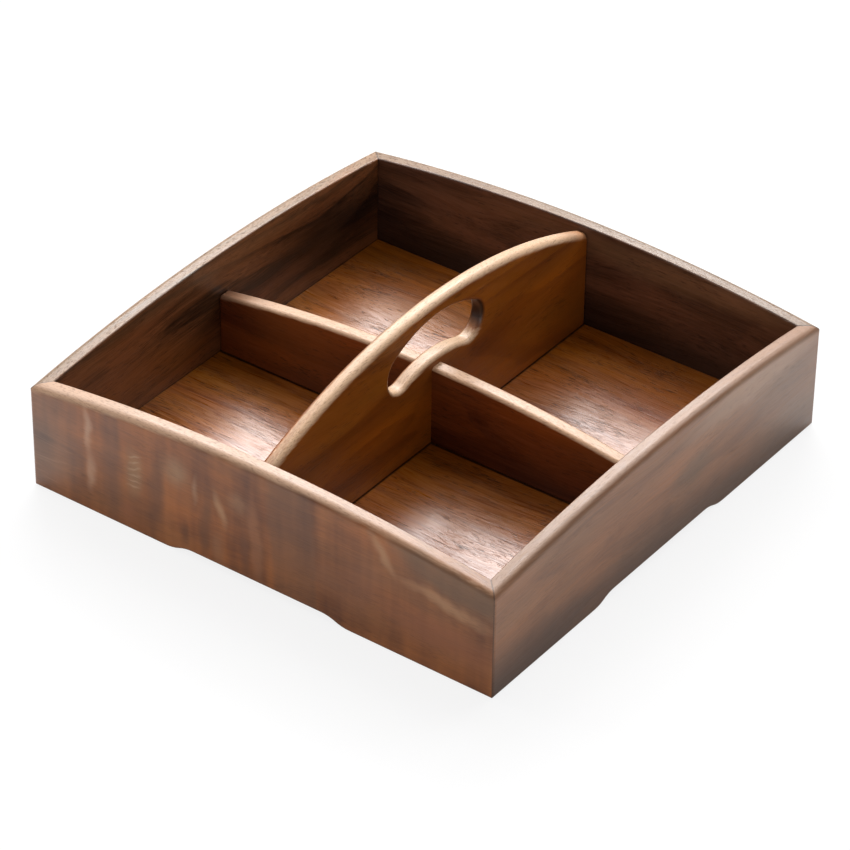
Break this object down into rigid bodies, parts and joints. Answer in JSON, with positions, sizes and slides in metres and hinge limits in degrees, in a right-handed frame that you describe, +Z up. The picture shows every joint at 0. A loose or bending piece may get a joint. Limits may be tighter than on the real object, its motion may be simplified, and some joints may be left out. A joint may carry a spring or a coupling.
{
  "type": "divided snack box",
  "caption": "Square open wooden box parted by an arched carrying board with a hand slot and a low cross divider.",
  "frame": {"origin": "middle of the footprint, on the plane of the four corner feet", "axes": "+X along the front wall to the right, +Y from the front wall to the back wall, along the handle board, +Z up"},
  "size_m": [0.25, 0.25, 0.0835],
  "materials": {
    "walnut_walls": "oiled, satin",
    "walnut_floor": "oiled, satin",
    "walnut_handle": "oiled, satin",
    "walnut_divider": "oiled, satin",
    "beech_joints": "raw"
  },
  "bodies": {
    "root": {"front_wall": "walnut_walls", "back_wall": "walnut_walls", "left_wall": "walnut_walls", "right_wall": "walnut_walls", "floor_panel": "walnut_floor", "handle_board": "walnut_handle", "cross_divider": "walnut_divider", "handle_dowels_front": "beech_joints", "handle_dowels_back": "beech_joints", "divider_dowel_left": "beech_joints", "divider_dowel_right": "beech_joints", "mitre_spline_front_left": "beech_joints", "mitre_spline_front_right": "beech_joints", "mitre_spline_back_left": "beech_joints", "mitre_spline_back_right": "beech_joints"}
  },
  "joints": []
}
